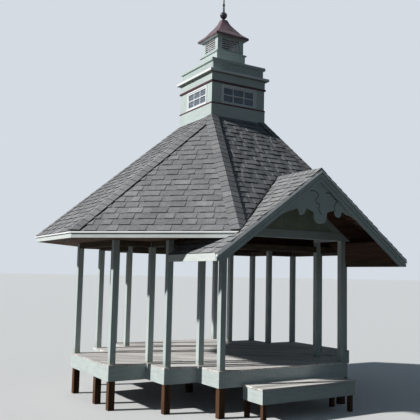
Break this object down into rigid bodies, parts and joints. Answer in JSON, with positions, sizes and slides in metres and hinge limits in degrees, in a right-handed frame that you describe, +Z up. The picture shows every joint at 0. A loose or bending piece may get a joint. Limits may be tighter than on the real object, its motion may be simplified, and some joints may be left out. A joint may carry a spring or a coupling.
{
  "type": "gazebo",
  "caption": "Open timber garden gazebo with an eight-sided shingled roof, a gabled entrance and a windowed cupola with a louvred lantern",
  "frame": {"origin": "on the ground under the middle of the deck, at the foot of the middle ground post", "axes": "+Z up, the gabled entrance faces -Y, +X to the right of someone standing inside and looking at the back, away from the entrance"},
  "size_m": [6.732, 6.281, 8.155],
  "materials": {
    "deck_timber": "weathered grey boards",
    "sage_paint": "satin exterior paint",
    "pale_paint": "satin exterior paint",
    "brown_boards": "dark brown stain",
    "brown_piers": "rough brown stained timber",
    "grey_shingles": "granular asphalt shingles",
    "maroon_paint": "satin exterior paint",
    "window_pane": "clear",
    "maroon_metal": "aged satin",
    "dark_bronze": "satin"
  },
  "bodies": {
    "root": {"deck_floor": "deck_timber", "deck_skirt": "sage_paint", "deck_joists": "brown_piers", "deck_beams": "brown_piers", "ground_posts": "brown_piers", "step_tread": "deck_timber", "step_box": "sage_paint", "step_legs": "brown_piers", "west_posts": "sage_paint", "east_posts": "sage_paint", "back_posts": "sage_paint", "corner_posts": "sage_paint", "entrance_posts": "sage_paint", "ring_beam": "brown_boards", "entrance_tie_beam": "sage_paint", "entrance_side_beams": "sage_paint", "roof_sheathing": "brown_boards", "roof_shingles": "grey_shingles", "eave_fascia": "sage_paint", "eave_drip_edge": "pale_paint", "eave_soffit": "brown_boards", "gable_sheathing": "brown_boards", "gable_shingles": "grey_shingles", "gable_eave_fascia": "sage_paint", "gable_rake_mould": "sage_paint", "gable_rake_boards": "sage_paint", "gable_ornament": "sage_paint", "pediment_beadboard": "sage_paint", "pediment_side_boards": "sage_paint", "cupola_walls": "sage_paint", "cupola_base_boards": "sage_paint", "cupola_maroon_bands": "maroon_paint", "cupola_frieze": "sage_paint", "cupola_cornice": "sage_paint", "window_casings": "pale_paint", "window_glass": "window_pane", "parapet_walls": "sage_paint", "parapet_cap": "sage_paint", "lantern_plinth": "sage_paint", "lantern_ledge": "sage_paint", "lantern_walls": "sage_paint", "lantern_louvres": "sage_paint", "lantern_crown": "sage_paint", "lantern_roof": "maroon_metal", "finial_ball": "dark_bronze", "finial_spire": "dark_bronze"}
  },
  "joints": []
}
